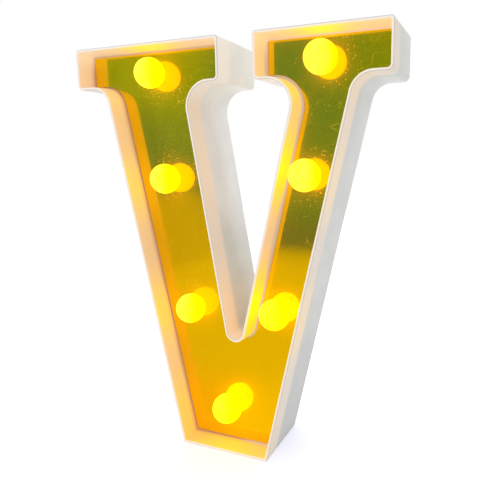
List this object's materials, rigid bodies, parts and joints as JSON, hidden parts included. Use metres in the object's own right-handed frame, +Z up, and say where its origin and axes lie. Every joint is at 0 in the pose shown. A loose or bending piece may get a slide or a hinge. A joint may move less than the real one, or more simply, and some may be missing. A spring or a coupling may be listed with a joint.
{
  "type": "led letter light",
  "caption": "Slab-serif letter V light: a deep hollow plastic casing with a gold mirror recess, round frosted bulbs, a battery bay with door and a slide switch at the back.",
  "frame": {"origin": "bottom centre of the whole light's box, on the surface that the foot stands on", "axes": "+Z up the letter, +X to the right seen from the front, the lit front faces -Y and the back cover faces +Y"},
  "size_m": [0.1762, 0.0448, 0.22],
  "materials": {
    "white_plastic": "satin, slightly translucent white ABS",
    "gold_mirror": "gold mirror sheet",
    "lit_globe": "frosted warm yellow globe, lit",
    "clear_epoxy": "clear LED epoxy",
    "bright_metal": "plated steel",
    "black_plastic": "moulded black",
    "cell_wrap": "plain printed sleeve, no marks",
    "red_wire": "red insulation",
    "black_wire": "black insulation",
    "resistor_tan": "painted carbon film body"
  },
  "bodies": {
    "casing": {"letter_shell": "white_plastic", "mirror_plate": "gold_mirror", "bulb_globe_1": "lit_globe", "bulb_globe_2": "lit_globe", "bulb_globe_3": "lit_globe", "bulb_globe_4": "lit_globe", "bulb_globe_5": "lit_globe", "bulb_globe_6": "lit_globe", "bulb_globe_7": "lit_globe", "led_1": "clear_epoxy", "led_2": "clear_epoxy", "led_3": "clear_epoxy", "led_4": "clear_epoxy", "led_5": "clear_epoxy", "led_6": "clear_epoxy", "led_7": "clear_epoxy", "back_cover": "white_plastic", "battery_upper": "cell_wrap", "battery_lower": "cell_wrap", "contact_negative": "bright_metal", "contact_positive": "bright_metal", "contact_bridge": "bright_metal", "spring_upper": "bright_metal", "spring_lower": "bright_metal", "switch_body": "bright_metal", "cover_screw_1": "bright_metal", "cover_screw_2": "bright_metal", "cover_screw_3": "bright_metal", "cover_screw_4": "bright_metal", "cover_screw_5": "bright_metal", "cover_screw_6": "bright_metal", "wire_positive": "red_wire", "wire_negative": "black_wire", "lead_battery": "black_wire", "lead_switch": "black_wire", "resistor": "resistor_tan"},
    "door": {"battery_door": "white_plastic"},
    "slider": {"switch_slider": "black_plastic"}
  },
  "joints": [
    {"name": "battery_door_lift", "type": "slide", "parent": "casing", "child": "door", "axis": [0, 1, 0], "range_m": [0, 0.04]},
    {"name": "power_switch_slide", "type": "slide", "parent": "casing", "child": "slider", "axis": [-1, 0, 0], "range_m": [0, 0.004]}
  ]
}
